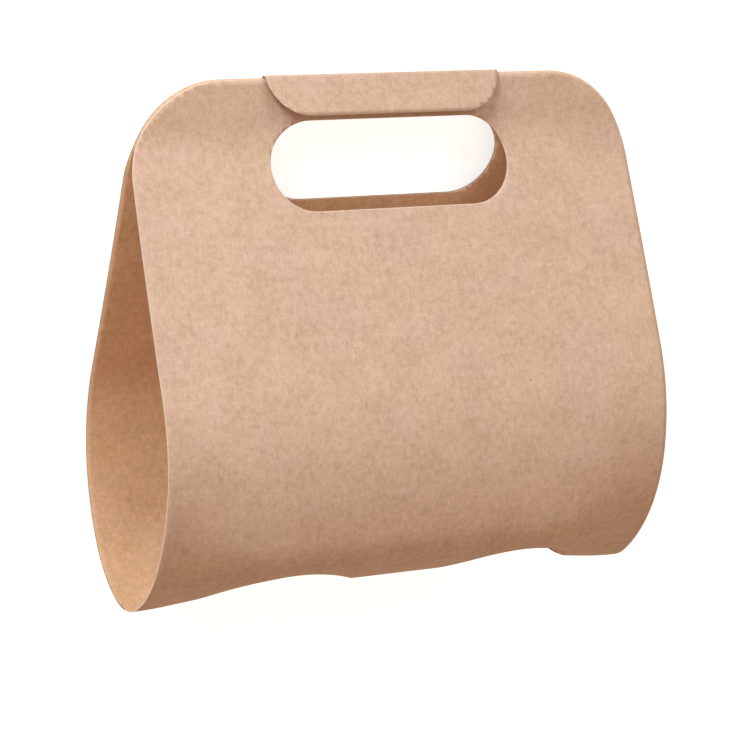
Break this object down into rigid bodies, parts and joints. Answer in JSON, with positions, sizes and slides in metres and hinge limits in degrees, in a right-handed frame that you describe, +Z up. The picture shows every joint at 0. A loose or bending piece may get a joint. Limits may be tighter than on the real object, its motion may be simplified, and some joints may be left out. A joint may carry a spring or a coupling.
{
  "type": "cup carrier",
  "caption": "Looped board carrier for hot drink cups: folded panels with a slotted handle and tuck flap above a curved bottom with round cup holes.",
  "frame": {"origin": "middle of the bounding box's floor: the empty carrier lies on its back panel, as it comes to rest", "axes": "+X along the carrier's width, +Y towards the handle end, +Z up out of the front panel, on which the flap lies"},
  "size_m": [0.219, 0.1964, 0.089],
  "materials": {
    "kraft_board": "matte uncoated brown kraft board"
  },
  "bodies": {
    "root": {"carrier": "kraft_board"}
  },
  "joints": []
}
